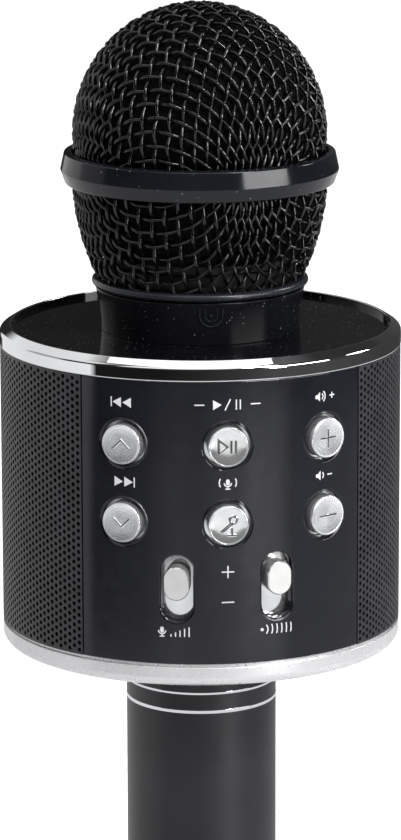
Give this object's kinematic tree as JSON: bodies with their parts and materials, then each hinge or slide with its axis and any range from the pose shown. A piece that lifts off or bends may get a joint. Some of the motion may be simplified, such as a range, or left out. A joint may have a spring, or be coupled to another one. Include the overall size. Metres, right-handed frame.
{
  "type": "karaoke microphone",
  "caption": "Cordless karaoke microphone: wire ball on a short neck, speaker drum with chrome rings, curved key panel and slide controls, and a slim round handle.",
  "frame": {"origin": "centre of the flat face of the handle's end cap, on which the microphone stands", "axes": "+Z along the microphone's axis from the handle's foot to the wire ball; the key panel faces -Y; +X to the right of someone who faces the panel"},
  "size_m": [0.082, 0.083, 0.245],
  "materials": {
    "black_wire": "gloss black enamel on woven steel wire",
    "gloss_black": "piano black",
    "foam": "open-cell pop foam, soft",
    "rubber_black": "matt",
    "capsule_can": "satin",
    "chrome": "polished",
    "nickel_nut": "nickel plated",
    "brass_insert": "turned",
    "frame_plastic": "moulded, fine spark texture",
    "powder_sheet": "dark grey powder coat on punched sheet",
    "anodised_black": "black anodised, bead blasted",
    "screw_steel": "zinc plated",
    "magnet_steel": "zinc plated",
    "basket_steel": "satin black",
    "cone_paper": "pressed paper pulp with rubber roll",
    "board_green": "solder resist",
    "flex_amber": "polyimide film",
    "switch_body": "moulded",
    "cell_wrap": "shrink sleeve",
    "contact_brass": "plated spring",
    "lead_red": "PVC sleeve",
    "socket_steel": "nickel plated",
    "light_pipe": "clear acrylic"
  },
  "bodies": {
    "housing": {"mic_capsule": "capsule_can", "capsule_cradle": "rubber_black", "capsule_lead": "lead_red", "neck": "gloss_black", "neck_nut": "nickel_nut", "top_plate": "gloss_black", "top_ring": "chrome", "speaker_box": "frame_plastic", "speaker_grille": "powder_sheet", "front_panel": "gloss_black", "bottom_ring": "chrome", "base_plate": "frame_plastic", "base_screws": "screw_steel", "left_speaker_frame": "basket_steel", "left_speaker_magnet": "magnet_steel", "right_speaker_frame": "basket_steel", "right_speaker_magnet": "magnet_steel", "speaker_screws": "screw_steel", "switch_carrier": "frame_plastic", "flex_circuit": "flex_amber", "key_switches": "switch_body", "slide_controls": "switch_body", "main_board": "board_green", "handle_collar": "anodised_black", "handle_nut": "nickel_nut", "upper_trim_ring": "chrome", "lower_trim_ring": "chrome", "handle_tube": "anodised_black", "battery_tray": "frame_plastic", "battery_cell": "cell_wrap", "battery_contacts": "contact_brass", "battery_lead": "lead_red", "charge_board": "board_green", "usb_socket": "socket_steel", "headphone_socket": "switch_body", "power_switch": "switch_body", "status_light": "light_pipe", "end_cap": "frame_plastic", "end_cap_screws": "screw_steel"},
    "ball_thread": {"thread_ring": "brass_insert"},
    "ball": {"grille_dome": "black_wire", "grille_cup": "black_wire", "grille_band": "gloss_black", "grille_collar": "gloss_black", "foam_liner": "foam"},
    "previous_key": {"previous_key": "chrome"},
    "next_key": {"next_key": "chrome"},
    "play_key": {"play_key": "chrome"},
    "mic_key": {"mic_key": "chrome"},
    "volume_up_key": {"volume_up_key": "chrome"},
    "volume_down_key": {"volume_down_key": "chrome"},
    "mic_volume_knob": {"mic_volume_knob": "chrome"},
    "effect_knob": {"effect_knob": "chrome"},
    "power_key": {"power_key": "chrome"},
    "left_cone": {"left_speaker_cone": "cone_paper"},
    "right_cone": {"right_speaker_cone": "cone_paper"}
  },
  "joints": [
    {"name": "ball_lift", "type": "slide", "parent": "housing", "child": "ball_thread", "axis": [0, 0, 1], "range_m": [0, 0.0045]},
    {"name": "ball_turn", "type": "hinge", "parent": "ball_thread", "child": "ball", "pos_m": [0, 0, 0.19], "axis": [0, 0, 1], "range_deg": [0, 1080]},
    {"name": "previous_key_press", "type": "slide", "parent": "housing", "child": "previous_key", "axis": [0.4924, 0.8704, 0], "range_m": [0, 0.0005], "stiffness_N_per_m": 1200, "springref_m": -0.0003},
    {"name": "next_key_press", "type": "slide", "parent": "housing", "child": "next_key", "axis": [0.4924, 0.8704, 0], "range_m": [0, 0.0005], "stiffness_N_per_m": 1200, "springref_m": -0.0003},
    {"name": "play_key_press", "type": "slide", "parent": "housing", "child": "play_key", "axis": [0, 1, 0], "range_m": [0, 0.0005], "stiffness_N_per_m": 1200, "springref_m": -0.0003},
    {"name": "mic_key_press", "type": "slide", "parent": "housing", "child": "mic_key", "axis": [0, 1, 0], "range_m": [0, 0.0005], "stiffness_N_per_m": 1200, "springref_m": -0.0003},
    {"name": "volume_up_key_press", "type": "slide", "parent": "housing", "child": "volume_up_key", "axis": [-0.4924, 0.8704, 0], "range_m": [0, 0.0005], "stiffness_N_per_m": 1200, "springref_m": -0.0003},
    {"name": "volume_down_key_press", "type": "slide", "parent": "housing", "child": "volume_down_key", "axis": [-0.4924, 0.8704, 0], "range_m": [0, 0.0005], "stiffness_N_per_m": 1200, "springref_m": -0.0003},
    {"name": "mic_volume_slide", "type": "slide", "parent": "housing", "child": "mic_volume_knob", "axis": [0, 0, 1], "range_m": [-0.0043, 0.0017]},
    {"name": "effect_slide", "type": "slide", "parent": "housing", "child": "effect_knob", "axis": [0, 0, 1], "range_m": [-0.0048, 0.0012]},
    {"name": "power_key_press", "type": "slide", "parent": "housing", "child": "power_key", "axis": [0, 0, 1], "range_m": [0, 0.0005], "stiffness_N_per_m": 1200, "springref_m": -0.0003},
    {"name": "left_cone_stroke", "type": "slide", "parent": "housing", "child": "left_cone", "axis": [-1, 0, 0], "range_m": [-0.001, 0.001], "stiffness_N_per_m": 900},
    {"name": "right_cone_stroke", "type": "slide", "parent": "housing", "child": "right_cone", "axis": [1, 0, 0], "range_m": [-0.001, 0.001], "stiffness_N_per_m": 900}
  ],
  "couplings": [
    {"joint": "ball_lift", "follows": "ball_turn", "m_per_rad": 0.00023873}
  ]
}
